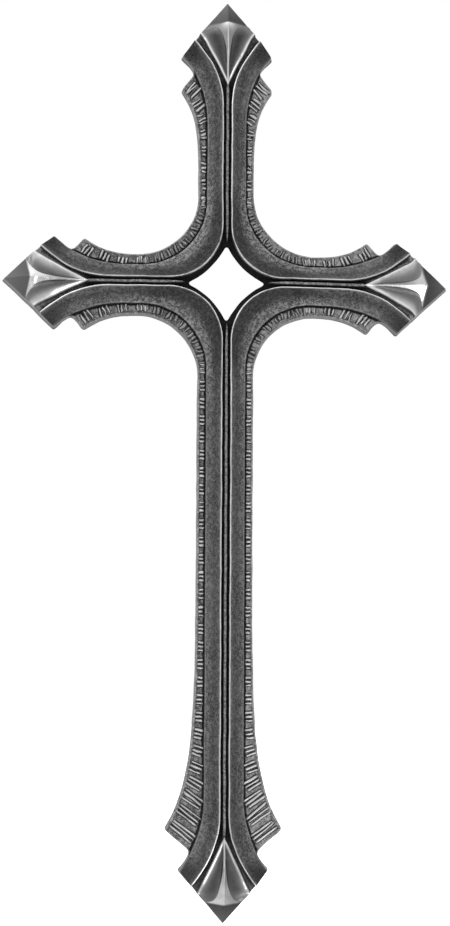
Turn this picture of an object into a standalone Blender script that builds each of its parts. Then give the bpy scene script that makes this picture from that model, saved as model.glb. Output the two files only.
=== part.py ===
"""Grave cross, cast in one piece: four moulded arms round a star opening.

The back is flat and lies in the plane y = 0. The front faces -Y, +Z is up.
The relief is drawn as rails: lines that run from one arm's tip, along the arm,
round the corner of the crossing and out to the next arm's tip.
Every point of a rail has a place in the plan and a height above the back.
"""
import math

import bmesh
import bpy
from mathutils import Vector
from mathutils.geometry import delaunay_2d_cdt

# Arms, from the middle of the star to the tip, all lengths in metres
ARM_TOP = 0.1276
ARM_SIDE = 0.0983
ARM_BOTTOM = 0.2764

# The mount on the back is this far below the middle of the star
MOUNT_BELOW_STAR = 0.053

# Outline at the back
UPRIGHT_HALF_WIDTH = 0.0124
SIDE_HALF_WIDTH = 0.0136
CORNER_RADIUS = 0.0270
DRAFT = 0.0009

# Spear tip: its half angle, how far back the notch is, and the top one's extra length
TIP_HALF_ANGLE = math.radians(40.9)
NOTCH_BACK = 0.0308
TOP_SPEAR_EXTRA = 0.0020

# Shoulders of the flange: distance back from the tip, and half width
TOP_SHOULDER = (0.0383, 0.0192)
SIDE_SHOULDER = (0.0360, 0.0192)
BOTTOM_SHOULDER = (0.0402, 0.0241)

# The flange swells from the corner to the shoulder, later with a higher power
TOP_FLARE_POWER = 4.2
SIDE_FLARE_POWER = 2.5
BOTTOM_FLARE_POWER = 8.4

# Bright inner edge of each band, and how it spreads towards the tip
EDGE_OFFSET = 0.0018
EDGE_RADIUS = 0.0235
EDGE_WIDTH = 0.0004
EDGE_SPREAD_BACK = 0.0472
EDGE_SPREAD = 13.2

# Foot of each band, where the flange starts
BAND_OFFSET = 0.0085
BAND_RADIUS = 0.0286
BAND_SPREAD_BACK = 0.0540
BAND_SPREAD = 10.4
BAND_HOLLOW = 1.35
STEP_WIDTH = 0.0005

# Groove with its centre ridge
RIDGE_HALF_WIDTH = 0.0006
GROOVE_SIDE = 0.0005
RIDGE_GAP = 0.0012

# Star opening: point to middle, and side to middle on the diagonal
STAR_POINT = 0.0163
STAR_WAIST = 0.0100

# Leaf inside the spear tip
LEAF_BACK = 0.0383
LEAF_SPREAD = 0.47
APEX_BACK = 0.0116
WING_BACK = 0.0105
FLUTE_FRONT = 0.0155
CREASE_SHARE = 0.32
FLUTE_SHARE = 0.62

# Heights above the back
FLANGE_HEIGHT = 0.0046
LINE_HEIGHT = 0.0042
BAND_FOOT_HEIGHT = 0.0058
BAND_CORNER_HEIGHT = 0.0062
EDGE_HEIGHT = 0.0130
EDGE_TIP_HEIGHT = 0.0096
RIDGE_HEIGHT = 0.0127
GROOVE_HEIGHT = 0.0096
GROOVE_TIP_HEIGHT = 0.0076
STAR_HEIGHT = 0.0086
LEAF_TIP_HEIGHT = 0.0098
CREASE_TIP_HEIGHT = 0.0115
FLUTE_TIP_HEIGHT = 0.0092
APEX_HEIGHT = 0.0145
WING_HEIGHT = 0.0080
POINT_HEIGHT = 0.0065

# How finely the curves are drawn
CORNER_STEPS = 9
SPREAD_STEPS = 6
FLARE_STEPS = 10
STAR_STEPS = 6
STRAIGHT_STEP = 0.020
NOTCH_STEPS = 3
BAND_SHARES = (1 / 3, 2 / 3)
CUT_ROUNDS = 50

# Powers of the eased heights: along a rail, and along the ridge to the wing
FADE_POWER = 1.5
WING_POWER = 0.8

# Edges sharper than this are shaded as edges, and points closer than this are one
SHARP_ANGLE = math.radians(25)
SAME_POINT = 1e-6

CAST_IRON_COLOUR = (0.10, 0.10, 0.105, 1.0)
CAST_IRON_ROUGHNESS = 0.42


def mix(start, end, share):
    return start + (end - start) * share


def spread(back, start, rate):
    """Sideways spread of a rail that leaves its straight line at start."""
    return rate * max(start - back, 0.0) ** 2


def edge_line(back):
    return EDGE_OFFSET + spread(back, EDGE_SPREAD_BACK, EDGE_SPREAD)


def band_line(back):
    return BAND_OFFSET + spread(back, BAND_SPREAD_BACK, BAND_SPREAD)


def leaf_line(back):
    return LEAF_SPREAD * max(LEAF_BACK - back, 0.0)


POINT_BACK = DRAFT / math.sin(TIP_HALF_ANGLE)


def spear_line(back):
    """Upper edge of the spear tip, which cuts every rail off."""
    return (back - POINT_BACK) * math.tan(TIP_HALF_ANGLE)


def cut_back(line):
    """How far back from the tip a rail meets the edge of the spear tip."""
    low = POINT_BACK
    high = NOTCH_BACK
    for _ in range(CUT_ROUNDS):
        middle = (low + high) / 2
        if line(middle) > spear_line(middle):
            low = middle
        else:
            high = middle
    return (low + high) / 2


class Arm:
    """One arm, with its direction in the plan and its flange's outline."""

    def __init__(self, direction, length, half_width, other_half_width, shoulder, power,
                 spear_extra=0.0):
        self.direction = Vector(direction)
        self.length = length - spear_extra
        self.spear_extra = spear_extra
        self.half_width = half_width
        self.shoulder_back, self.shoulder_half = shoulder
        self.flare = self.length - other_half_width - CORNER_RADIUS - self.shoulder_back
        self.power = power

    def place(self, back, offset, side, height):
        """Plan point and height from a distance back from the tip."""
        stretch = self.spear_extra * max(1 - back / NOTCH_BACK, 0.0)
        point = self.direction * (self.length - back + stretch) + side * offset
        return (point.x, point.y, height)

    def flange_line(self, back):
        straight = self.half_width - DRAFT
        share = 1 - (back - self.shoulder_back) / self.flare
        swell = max(share, 0.0) ** self.power
        return straight + (self.shoulder_half - straight) * swell


def stations(front, curve_end, straight_end, curve_steps):
    """Distances back from the tip: close on the curve, wide apart on the straight."""
    curve_end = min(curve_end, straight_end)
    backs = [mix(front, curve_end, i / curve_steps) for i in range(curve_steps)]
    count = max(1, round((straight_end - curve_end) / STRAIGHT_STEP))
    backs += [mix(curve_end, straight_end, i / count) for i in range(count + 1)]
    return backs


def corner(first, second, first_centre, second_centre, radius):
    """Arc between two arms, round a centre at these distances from their two axes."""
    points = []
    for i in range(1, CORNER_STEPS):
        angle = math.radians(90) * i / CORNER_STEPS
        inward = first_centre - radius * math.cos(angle)
        along = second_centre - radius * math.sin(angle)
        points.append(first.direction * along + second.direction * inward)
    return points


def half_rail(arm, side, line, height, front, radius, curve_end):
    """A rail on one arm, from its front end to where the corner starts."""
    straight_end = arm.length - line(arm.length) - radius
    backs = stations(front, curve_end, straight_end, SPREAD_STEPS)
    return [arm.place(back, line(back), side, height(back)) for back in backs]


def full_rail(first, second, line, height, front, radius, curve_end):
    """A rail from the tip of one arm, round the corner, to the next arm's tip."""
    points = half_rail(first, second.direction, line, height, front, radius, curve_end)
    centre = line(first.length) + radius
    level = height(first.length)
    arc = corner(first, second, centre, centre, radius)
    points += [(p.x, p.y, level) for p in arc]
    returning = half_rail(second, first.direction, line, height, front, radius, curve_end)
    return points + returning[::-1]


def fade(tip_height, arm_height, front, end):
    """Height that eases from its value at the tip to its value on the arm."""
    def height(back):
        share = min(max((end - back) / (end - front), 0.0), 1.0)
        return mix(arm_height, tip_height, share ** FADE_POWER)
    return height


EDGE_FRONT = cut_back(edge_line)
BAND_FRONT = cut_back(band_line)
LEAF_FRONT = cut_back(leaf_line)
edge_height = fade(EDGE_TIP_HEIGHT, EDGE_HEIGHT, EDGE_FRONT, EDGE_SPREAD_BACK)
foot_height = fade(BAND_CORNER_HEIGHT, BAND_FOOT_HEIGHT, BAND_FRONT, NOTCH_BACK)
leaf_height = fade(LEAF_TIP_HEIGHT, RIDGE_HEIGHT, LEAF_FRONT, LEAF_BACK)


def groove_outer_line(back):
    return edge_line(back) - GROOVE_SIDE


def groove_inner_line(back):
    return leaf_line(back) + RIDGE_HALF_WIDTH


def edge_outer_line(back):
    return edge_line(back) + EDGE_WIDTH


def band_share(share):
    """Line and height inside the band, a share of the way down its hollow."""
    def line(back):
        return mix(edge_outer_line(back), band_line(back), share)

    def height(back):
        return mix(foot_height(back), edge_height(back), (1 - share) ** BAND_HOLLOW)
    return line, height


GROOVE_OUTER_FRONT = cut_back(groove_outer_line)
GROOVE_INNER_FRONT = cut_back(groove_inner_line)
groove_height = fade(GROOVE_TIP_HEIGHT, GROOVE_HEIGHT, GROOVE_INNER_FRONT, LEAF_BACK)


def band_rails():
    """Every rail that goes all the way round: line, height, front, radius, curve end."""
    rails = [
        (groove_outer_line, groove_height, GROOVE_OUTER_FRONT, EDGE_RADIUS + GROOVE_SIDE),
        (edge_line, edge_height, EDGE_FRONT, EDGE_RADIUS),
        (edge_outer_line, edge_height, cut_back(edge_outer_line), EDGE_RADIUS - EDGE_WIDTH),
    ]
    for share in BAND_SHARES:
        line, height = band_share(share)
        radius = mix(EDGE_RADIUS - EDGE_WIDTH, BAND_RADIUS, share)
        rails.append((line, height, cut_back(line), radius))
    return rails


def wing_points(arm, side):
    """Ridge from the apex out to the edge of the spear tip."""
    points = []
    for share in (0.0, CREASE_SHARE, FLUTE_SHARE, 1.0):
        back = mix(APEX_BACK, WING_BACK, share)
        height = mix(APEX_HEIGHT, WING_HEIGHT, share ** WING_POWER)
        points.append(arm.place(back, spear_line(WING_BACK) * share, side, height))
    return points


def leaf_rails(arm, side):
    """Lines of the leaf: its edge, the hollow flute and the crease by the ridge."""
    rails = [wing_points(arm, side)]
    edge = []
    flute = []
    crease = []
    for i in range(SPREAD_STEPS + 1):
        share = i / SPREAD_STEPS
        back = mix(LEAF_FRONT, LEAF_BACK, share)
        edge.append(arm.place(back, leaf_line(back), side, leaf_height(back)))
        back = mix(FLUTE_FRONT, LEAF_BACK, share)
        rise = share ** FADE_POWER
        low = mix(FLUTE_TIP_HEIGHT, RIDGE_HEIGHT, rise)
        flute.append(arm.place(back, FLUTE_SHARE * leaf_line(back), side, low))
        middle = mix(CREASE_TIP_HEIGHT, RIDGE_HEIGHT, rise)
        crease.append(arm.place(back, CREASE_SHARE * leaf_line(back), side, middle))
    return rails + [edge, flute, crease]


def groove_inner_rail(arm, side):
    """Foot of the leaf and of the centre ridge, up to the star."""
    backs = stations(GROOVE_INNER_FRONT, LEAF_BACK, arm.length - STAR_POINT - RIDGE_GAP, SPREAD_STEPS)
    points = [arm.place(b, groove_inner_line(b), side, groove_height(b)) for b in backs]
    end = arm.length - STAR_POINT - RIDGE_GAP / 2
    return points + [arm.place(end, 0.0, side, GROOVE_HEIGHT)]


def ridge_rail(arm):
    """Centre ridge, from the star to the leaf, over the apex and down to the point."""
    side = Vector((0.0, 0.0))
    start = arm.length - STAR_POINT - RIDGE_GAP
    count = max(1, round((start - LEAF_BACK) / STRAIGHT_STEP))
    points = []
    for i in range(count):
        points.append(arm.place(mix(start, LEAF_BACK, i / count), 0.0, side, RIDGE_HEIGHT))
    for i in range(SPREAD_STEPS):
        share = i / SPREAD_STEPS
        back = mix(LEAF_BACK, APEX_BACK, share)
        points.append(arm.place(back, 0.0, side, mix(RIDGE_HEIGHT, APEX_HEIGHT, share)))
    points.append(arm.place(APEX_BACK, 0.0, side, APEX_HEIGHT))
    points.append(arm.place(POINT_BACK, 0.0, side, POINT_HEIGHT))
    return points


def half_outline(arm, side):
    """Upper edge of the outline, from the tip to where the corner starts."""
    points = [arm.place(POINT_BACK, 0.0, side, POINT_HEIGHT)]
    cuts = [
        (WING_BACK, WING_HEIGHT),
        (LEAF_FRONT, LEAF_TIP_HEIGHT),
        (GROOVE_INNER_FRONT, GROOVE_TIP_HEIGHT),
    ]
    for _, height, front, _ in band_rails():
        cuts.append((front, height(front)))
    cuts.append((BAND_FRONT, BAND_CORNER_HEIGHT))
    points += [arm.place(back, spear_line(back), side, height) for back, height in cuts]
    for i in range(1, NOTCH_STEPS + 1):
        back = mix(BAND_FRONT, NOTCH_BACK, i / NOTCH_STEPS)
        points.append(arm.place(back, band_line(back), side, foot_height(back)))
    for i in range(FLARE_STEPS + 1):
        back = arm.shoulder_back + arm.flare * (i / FLARE_STEPS) ** 2
        points.append(arm.place(back, arm.flange_line(back), side, FLANGE_HEIGHT))
    return points


def full_outline(first, second):
    """Upper edge of the outline of one quarter, from tip to tip."""
    points = half_outline(first, second.direction)
    centres = [arm.half_width + CORNER_RADIUS for arm in (first, second)]
    arc = corner(first, second, centres[0], centres[1], CORNER_RADIUS + DRAFT)
    points += [(p.x, p.y, FLANGE_HEIGHT) for p in arc]
    return points + half_outline(second, first.direction)[::-1]


def step_rails(first, second):
    """Foot of the band and the sunk line beside it, both from notch to notch."""
    foot = full_rail(first, second, band_line, foot_height, NOTCH_BACK, BAND_RADIUS,
                     BAND_SPREAD_BACK)

    def sunk_line(back):
        return band_line(back) + STEP_WIDTH

    def sunk_height(_):
        return LINE_HEIGHT
    sunk = full_rail(first, second, sunk_line, sunk_height, NOTCH_BACK, BAND_RADIUS - STEP_WIDTH,
                     BAND_SPREAD_BACK)
    sunk[0] = foot[0]
    sunk[-1] = foot[-1]
    return [foot, sunk]


def star_side(first, second, height):
    """Hollow side of the star, from one point to the next."""
    reach = STAR_POINT ** 2 - STAR_WAIST ** 2
    centre = reach / (math.sqrt(2) * STAR_POINT - 2 * STAR_WAIST) / math.sqrt(2)
    radius = math.hypot(centre, centre - STAR_POINT)
    half = math.radians(45) - math.asin((centre - STAR_POINT) / radius)
    points = []
    for i in range(STAR_STEPS + 1):
        angle = math.radians(45) + half * (1 - 2 * i / STAR_STEPS)
        inward = centre - radius * math.sin(angle)
        along = centre - radius * math.cos(angle)
        point = first.direction * along + second.direction * inward
        points.append((point.x, point.y, height))
    return points


def joined(parts):
    """One closed loop from parts that share their end points."""
    loop = []
    for part in parts:
        loop += part[:-1]
    return loop


def pushed_out(loop, distance):
    """The loop moved outwards in the plan, with its corners kept sharp, at the back."""
    result = []
    for i, point in enumerate(loop):
        before = loop[i - 1]
        after = loop[(i + 1) % len(loop)]
        arriving = Vector((point[0] - before[0], point[1] - before[1])).normalized()
        leaving = Vector((after[0] - point[0], after[1] - point[1])).normalized()
        normals = [Vector((d.y, -d.x)) for d in (arriving, leaving)]
        middle = (normals[0] + normals[1]).normalized()
        reach = distance / middle.dot(normals[0])
        result.append((point[0] + middle.x * reach, point[1] + middle.y * reach, 0.0))
    return result


def inside(point, loop):
    """True where the plan point is inside the loop."""
    hit = False
    for i, corner_point in enumerate(loop):
        x0, y0 = loop[i - 1][:2]
        x1, y1 = corner_point[:2]
        if (y0 > point[1]) != (y1 > point[1]):
            if point[0] < x0 + (x1 - x0) * (point[1] - y0) / (y1 - y0):
                hit = not hit
    return hit


def triangulate(lines, opening):
    """Triangles between the lines, all inside the closed ones but not in the opening."""
    points = []
    pairs = []
    for line in lines:
        pairs += [(len(points) + i, len(points) + i + 1) for i in range(len(line) - 1)]
        points += line
    flat = [Vector(point[:2]) for point in points]
    places, _, triangles, sources, _, _ = delaunay_2d_cdt(flat, pairs, [], 1, 1e-7)
    corners = [(p.x, p.y, points[source[0]][2]) for p, source in zip(places, sources)]
    kept = []
    for triangle in triangles:
        middle = [sum(places[i][axis] for i in triangle) / 3 for axis in (0, 1)]
        if not inside(middle, opening):
            kept.append([corners[i] for i in triangle])
    return kept


def wall(upper, lower):
    """Triangles between two loops with as many points, the upper one seen first."""
    faces = []
    for i, point in enumerate(upper):
        before = i - 1
        faces.append([upper[before], lower[before], lower[i]])
        faces.append([upper[before], lower[i], point])
    return faces


def build_mesh(faces, name):
    """Closed mesh from triangles in the plan, stood upright with its front to -Y."""
    mesh_data = bpy.data.meshes.new(name)
    body = bmesh.new()
    for face in faces:
        corners = [body.verts.new((x, -height, y + MOUNT_BELOW_STAR)) for x, y, height in face]
        body.faces.new(corners)
    bmesh.ops.remove_doubles(body, verts=body.verts, dist=SAME_POINT)
    bmesh.ops.dissolve_degenerate(body, dist=SAME_POINT, edges=body.edges)
    bmesh.ops.recalc_face_normals(body, faces=body.faces)
    body.to_mesh(mesh_data)
    body.free()
    return mesh_data


def cast_iron():
    material = bpy.data.materials.new("antique_cast_iron")
    material.use_nodes = True
    shader = material.node_tree.nodes["Principled BSDF"]
    shader.inputs["Base Color"].default_value = CAST_IRON_COLOUR
    shader.inputs["Metallic"].default_value = 1.0
    shader.inputs["Roughness"].default_value = CAST_IRON_ROUGHNESS
    return material


def main():
    for item in list(bpy.data.objects):
        bpy.data.objects.remove(item, do_unlink=True)

    upright = (UPRIGHT_HALF_WIDTH, SIDE_HALF_WIDTH)
    side = (SIDE_HALF_WIDTH, UPRIGHT_HALF_WIDTH)
    top = Arm((0.0, 1.0), ARM_TOP, *upright, TOP_SHOULDER, TOP_FLARE_POWER, TOP_SPEAR_EXTRA)
    left = Arm((-1.0, 0.0), ARM_SIDE, *side, SIDE_SHOULDER, SIDE_FLARE_POWER)
    bottom = Arm((0.0, -1.0), ARM_BOTTOM, *upright, BOTTOM_SHOULDER, BOTTOM_FLARE_POWER)
    right = Arm((1.0, 0.0), ARM_SIDE, *side, SIDE_SHOULDER, SIDE_FLARE_POWER)
    arms = [top, left, bottom, right]

    lines = []
    outline_parts = []
    star_parts = []
    for first, second in zip(arms, arms[1:] + arms[:1]):
        for line, height, front, radius in band_rails():
            lines.append(full_rail(first, second, line, height, front, radius, EDGE_SPREAD_BACK))
        lines += step_rails(first, second)
        for arm, other in ((first, second), (second, first)):
            lines += leaf_rails(arm, other.direction)
            lines.append(groove_inner_rail(arm, other.direction))
        lines.append(ridge_rail(first))
        outline_parts.append(full_outline(first, second))
        star_parts.append(star_side(first, second, STAR_HEIGHT))

    outline = joined(outline_parts)
    star = joined(star_parts)
    base = pushed_out(outline, DRAFT)
    star_base = [(x, y, 0.0) for x, y, _ in star]

    front = triangulate(lines + outline_parts + star_parts, star)
    back = triangulate([base + base[:1], star_base + star_base[:1]], star_base)
    faces = front + back + wall(outline, base) + wall(star, star_base)

    cross = bpy.data.objects.new("cross", build_mesh(faces, "cross"))
    bpy.context.scene.collection.objects.link(cross)
    cross.data.materials.append(cast_iron())
    cross.data.shade_smooth()
    cross.data.set_sharp_from_angle(angle=SHARP_ANGLE)


main()
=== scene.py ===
# %% [markdown]
# # A cast grave cross, from the plan to the patina
# The real object is one casting of dark grey iron: a Latin cross with a star
# opening, four moulded bands, a ribbed flange and a spear tip on each arm.
# The solid of the same cross comes from model.glb. This lesson dresses it with a
# finer skin that keeps the solid's form, and with a worn, burnished finish.

# %% Load the frame
import math
from functools import partial

import bpy
import numpy as np
from mathutils import Matrix, Vector, noise
from mathutils.geometry import delaunay_2d_cdt
from mathutils.kdtree import KDTree


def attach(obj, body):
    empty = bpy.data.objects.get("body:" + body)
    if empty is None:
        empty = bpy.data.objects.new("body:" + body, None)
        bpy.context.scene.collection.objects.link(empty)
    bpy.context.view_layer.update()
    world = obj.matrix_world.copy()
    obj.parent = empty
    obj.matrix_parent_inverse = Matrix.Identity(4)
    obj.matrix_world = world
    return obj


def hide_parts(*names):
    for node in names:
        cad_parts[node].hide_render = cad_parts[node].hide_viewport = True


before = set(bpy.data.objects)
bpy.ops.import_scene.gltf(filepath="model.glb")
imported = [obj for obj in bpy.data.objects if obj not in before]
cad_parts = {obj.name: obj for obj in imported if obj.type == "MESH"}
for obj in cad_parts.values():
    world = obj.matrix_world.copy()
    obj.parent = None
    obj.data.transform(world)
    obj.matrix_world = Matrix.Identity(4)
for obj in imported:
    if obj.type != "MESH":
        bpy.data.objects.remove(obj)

bpy.context.view_layer.update()

# %% [markdown]
# ## The sizes
# A casting like this starts as a carved pattern, drawn from a few sizes. They are
# the same as the solid's, in metres. "Back" is the distance back from an arm's
# tip, so all four spear tips can share one drawing. An alternative is to sculpt
# the skin by hand, but drawn sizes keep the skin on the solid.

# %% Sizes of the arms and of the outline
def kinds(top, side, bottom):
    """One value for each kind of arm."""
    return {"top": top, "side": side, "bottom": bottom}


def arms(up, left, down, right):
    """One value for each arm."""
    return {"up": up, "left": left, "down": down, "right": right}


MOUNT_BELOW_STAR = 0.053
ARM = kinds(0.1256, 0.0983, 0.2764)
SPEAR_EXTRA = kinds(0.0020, 0.0, 0.0)
HALF_WIDTH = kinds(0.0124, 0.0136, 0.0124)
SHOULDER = kinds((0.0383, 0.0192), (0.0360, 0.0192), (0.0402, 0.0241))
FLARE_POWER = kinds(4.2, 2.5, 8.4)
CORNER_RADIUS = 0.0270
DRAFT, FLANGE_DRAFT = 0.0009, 0.0004
TIP_ANGLE = math.radians(40.9)
NOTCH_BACK = 0.0308
POINT_BACK = DRAFT / math.sin(TIP_ANGLE)

# %% Sizes of the mouldings
EDGE_OFFSET, EDGE_RADIUS, EDGE_START, EDGE_SPREAD = 0.0018, 0.0235, 0.0472, 13.2
BAND_OFFSET, BAND_RADIUS, BAND_START, BAND_SPREAD = 0.0085, 0.0286, 0.0540, 10.4
STAR_POINT, STAR_WAIST, STAR_BLUNT, STAR_UNDERCUT = 0.0174, 0.0100, 0.0021, 0.0015
LEAF_BACK, LEAF_SPREAD = 0.0383, 0.47
APEX_BACK, WING_BACK = 0.0116, 0.0103
FLUTE_DEPTH, STAR_WORN = 0.0017, 0.0003
RIDGE_HALF, RIDGE_END, GROOVE_SIDE, LIP_WIDTH = 0.00068, 0.00038, 0.0005, 0.0006
SPINE_HALF, LEFT_TIP_RISE, RIGHT_ARM_DROP = 0.00045, 0.0013, 0.0005
CORNER_SPREAD = kinds(0.0008, 0.0012, 0.0001)
CORNER_SETBACK = kinds(0.0010, 0.0, 0.0)
APEX_SHIFT = arms(0.0, 0.0016, -0.0015, -0.0010)
WING_SHIFT = arms(0.0010, 0.0005, 0.0, 0.0020)
SHOULDER_SPREAD, SHOULDER_REACH = kinds(0.0008, 0.0008, 0.0009), 0.012
HEIGHT = {
    "flange": 0.0043, "rim": 0.0046, "line": 0.0037, "foot": 0.0058, "corner": 0.0062,
    "edge": 0.0130, "edge_tip": 0.0096, "ridge": 0.0127, "groove": 0.0094,
    "groove_tip": 0.0076, "star": 0.0078, "leaf_tip": 0.0098, "apex": 0.0144,
    "wing": 0.0080, "point": 0.0065,
}

# %% How each arm is worn, with its painted highlights and painted shade
# The lee side gets painted shade: the right half of an upright arm, the upper half of a side arm.
# The spine and the star of each tip are rubbed and also carry a painted highlight, set arm by arm.
# The flutes are dark with patina and painted shade, and the facets in front of the wings with painted shade.
SPINE_SHINE = arms(0.8, 0.5, 0.85, 0.2)
RUB_AND_SHEEN = arms(0.0022, 0.0092, 0.0084, 0.0058)
SCOOPED = arms(0.84, 0.58, 0.72, 0.46)
FALLEN = arms(0.56, 0.34, 0.68, 0.74)
FALLEN_LEE = arms(0.86, 0.46, 0.80, 0.94)
LEE_SIDE = arms(0.0, 0.0, 0.52, 0.36)
WING_SOFT = arms(0.0005, 0.0004, 0.0004, 0.0017)
# Painted light on the flange right of the bands, lifting it out of the bands' shadow.
RIGHT_FLANGE_PAINTED_LIGHT = 0.11
WALL_MARKS, OPENING_MARKS = [0.03, 0.0, 0.85, 0.0], [0.0, 0.95, 0.0, 0.0]
BACK_MARKS = [0.0, 0.12, 0.0, 0.3]
LIP_CREST = 0.00045


def mix(start, end, share):
    return start + (end - start) * share


def smooth(share):
    share = np.clip(share, 0.0, 1.0)
    return share * share * (3 - 2 * share)


def bell(distance, middle, width):
    """1 at the middle, falling off smoothly on both sides."""
    return np.exp(-((distance - middle) / width) ** 2)



# %% [markdown]
# ## The lines of the pattern
# Each moulding follows a line: straight along the arm, spreading towards the
# tip, and rounded at the crossing. The plan is drawn with the star's middle at
# 0, 0. A line could be a curve object, but a plain function can also say how far
# any point is from it, and the whole relief is made from those distances.

# %% Lines along an arm
def edge_line(back):
    return EDGE_OFFSET + EDGE_SPREAD * np.maximum(EDGE_START - back, 0.0) ** 2


def band_line(back):
    return BAND_OFFSET + BAND_SPREAD * np.maximum(BAND_START - back, 0.0) ** 2


def leaf_line(back):
    return LEAF_SPREAD * np.maximum(LEAF_BACK - back, 0.0)


def crease_line(back):
    """Hollow side of the star-shaped pyramid in a spear tip, from leaf base to wing."""
    run = np.clip((LEAF_BACK - back) / (LEAF_BACK - WING_BACK), 0.0, 1.0)
    swept = (spear_line(WING_BACK) - SPINE_HALF) * (0.6 * run ** 4 + 0.4 * run ** 16)
    return SPINE_HALF * smooth(run * 6) + swept


def scoop_line(back):
    """Inner side of the leaf's lip."""
    return np.maximum(leaf_line(back) - LIP_WIDTH, crease_line(back) + 1e-5)


def spear_line(back):
    return (back - POINT_BACK) * math.tan(TIP_ANGLE)


def flange_line(kind, back):
    straight = HALF_WIDTH[kind] - FLANGE_DRAFT
    other = HALF_WIDTH["top" if kind == "side" else "side"]
    shoulder_back, shoulder_half = SHOULDER[kind]
    flare = ARM[kind] - other - CORNER_RADIUS - shoulder_back
    share = np.maximum(1 - (back - shoulder_back) / flare, 0.0)
    return straight + (shoulder_half - straight) * share ** FLARE_POWER[kind]


def bisect(past, low, high, rounds):
    """Closes in on the place where a test starts to hold."""
    for _ in range(rounds):
        middle = (low + high) / 2
        low, high = (low, middle) if past(middle) else (middle, high)
    return low, high


def cut_back(line):
    """Where a line meets the edge of the spear tip."""
    return bisect(lambda back: line(back) <= spear_line(back), POINT_BACK, NOTCH_BACK, 50)[1]


print("band ends", round(cut_back(band_line) * 1000, 2), "mm back from the tip")


# %% Places on the plan
FINE_STEP, WIDE_STEP, ARC_STEP = 0.0007, 0.0012, 0.0009
DIRECTION = arms(Vector((0, 1)), Vector((-1, 0)), Vector((0, -1)), Vector((1, 0)))
KIND = arms("top", "side", "bottom", "side")
QUARTERS = [("up", "left"), ("left", "down"), ("down", "right"), ("right", "up")]


def place(arm, side, back, offset):
    """Plan point on an arm, from the distance back and the distance off the middle."""
    kind = KIND[arm]
    stretch = SPEAR_EXTRA[kind] * max(1 - back / NOTCH_BACK, 0.0)
    point = DIRECTION[arm] * (ARM[kind] - back + stretch) + DIRECTION[side] * offset
    return (point.x, point.y)


def steps(start, end, step):
    count = max(1, math.ceil(abs(end - start) / step))
    return [mix(start, end, i / count) for i in range(count + 1)]


def trace(arm, side, backs, line):
    """Plan points of a line on an arm, one for each distance back."""
    return [place(arm, side, back, float(line(back))) for back in backs]


def arc(first, second, first_centre, second_centre, radius, step=ARC_STEP):
    """Round corner between two arms, without its two ends."""
    count = math.ceil(math.pi / 2 * radius / step)
    points = []
    for i in range(1, count):
        angle = math.pi / 2 * i / count
        point = DIRECTION[first] * (second_centre - radius * math.sin(angle))
        point += DIRECTION[second] * (first_centre - radius * math.cos(angle))
        points.append((point.x, point.y))
    return points


def rail(first, second, line, radius, tip_end):
    """One line of the pattern, from tip to tip round the corner."""
    halves = []
    centre = float(line(1.0)) + radius
    for arm, side in ((first, second), (second, first)):
        end = ARM[KIND[arm]] - centre
        middle = min(BAND_START, end)
        backs = steps(tip_end, middle, FINE_STEP)[:-1] + steps(middle, end, WIDE_STEP)
        halves.append(trace(arm, side, backs, line))
    return halves[0] + arc(first, second, centre, centre, radius) + halves[1][::-1]



# %% [markdown]
# ## The outline
# Pattern makers never leave a knife-sharp corner, because molten iron doesn't
# fill it. So the outline is first drawn with sharp corners, and then each one is
# cut back and replaced by a short curve.

# %% Outline of a quarter, with softened corners
CORNER_REACHES = (0.0008, 0.0022, 0.0003)


def half_outline(arm, side):
    """Sharp outline of half an arm, and where its three corners are."""
    kind = KIND[arm]
    band_end = cut_back(band_line)
    shoulder_back, shoulder_half = SHOULDER[kind]
    stop = ARM[kind] - HALF_WIDTH["top" if kind == "side" else "side"] - CORNER_RADIUS
    spear = trace(arm, side, steps(POINT_BACK, band_end, 0.0003), spear_line)
    band = trace(arm, side, steps(band_end, NOTCH_BACK, 0.0005), band_line)
    notch = Vector((NOTCH_BACK, band_line(NOTCH_BACK)))
    shoulder = Vector((shoulder_back, shoulder_half))
    end = [place(arm, side, *notch.lerp(shoulder, share)) for share in steps(0, 1, 0.05)]
    backs = steps(shoulder_back, stop, ARC_STEP)
    flare = trace(arm, side, backs, lambda back: flange_line(kind, back))
    corners = [len(spear) - 1, len(spear) + len(band) - 2, len(spear) + len(band) + len(end) - 3]
    return spear + band[1:] + end[1:] + flare[1:], corners


def soften(points, mark, reach):
    """Replaces the corner at one point by a curve that starts a short way before it."""
    ends = []
    for way in (-1, 1):
        walked, i = 0.0, mark
        while walked < reach:
            step = Vector(points[i + way]) - Vector(points[i])
            walked += step.length
            i += way
        ends.append((i, Vector(points[i])))
    corner = Vector(points[mark])
    curve = []
    for share in steps(0, 1, 0.2):
        start = ends[0][1].lerp(corner, share)
        curve.append(tuple(start.lerp(corner.lerp(ends[1][1], share), share)))
    return points[:ends[0][0]] + curve + points[ends[1][0] + 1:]


def quarter_outline(first, second):
    halves = []
    for arm, side in ((first, second), (second, first)):
        points, corners = half_outline(arm, side)
        for corner, reach in zip(corners[::-1], CORNER_REACHES):
            points = soften(points, corner, reach)
        halves.append(points)
    centres = [HALF_WIDTH[KIND[arm]] + CORNER_RADIUS for arm in (first, second)]
    bend = arc(first, second, *centres, CORNER_RADIUS + FLANGE_DRAFT)
    return halves[0] + bend + halves[1][::-1]


def quarter_star(first, second):
    """Hollow side of the star opening, a shallow arc from point to point."""
    reach = STAR_POINT ** 2 - STAR_WAIST ** 2
    centre = reach / (math.sqrt(2) * STAR_POINT - 2 * STAR_WAIST) / math.sqrt(2)
    radius = math.hypot(centre, centre - STAR_POINT)
    half = math.radians(45) - math.asin((centre - STAR_POINT) / radius)
    points = []
    for share in steps(-1, 1, 0.07):
        angle = math.radians(45) - half * share
        point = DIRECTION[first] * (centre - radius * math.cos(angle))
        point += DIRECTION[second] * (centre - radius * math.sin(angle))
        points.append((point.x, point.y))
    return points


def closed(parts):
    return [point for part in parts for point in part[:-1]]


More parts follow.
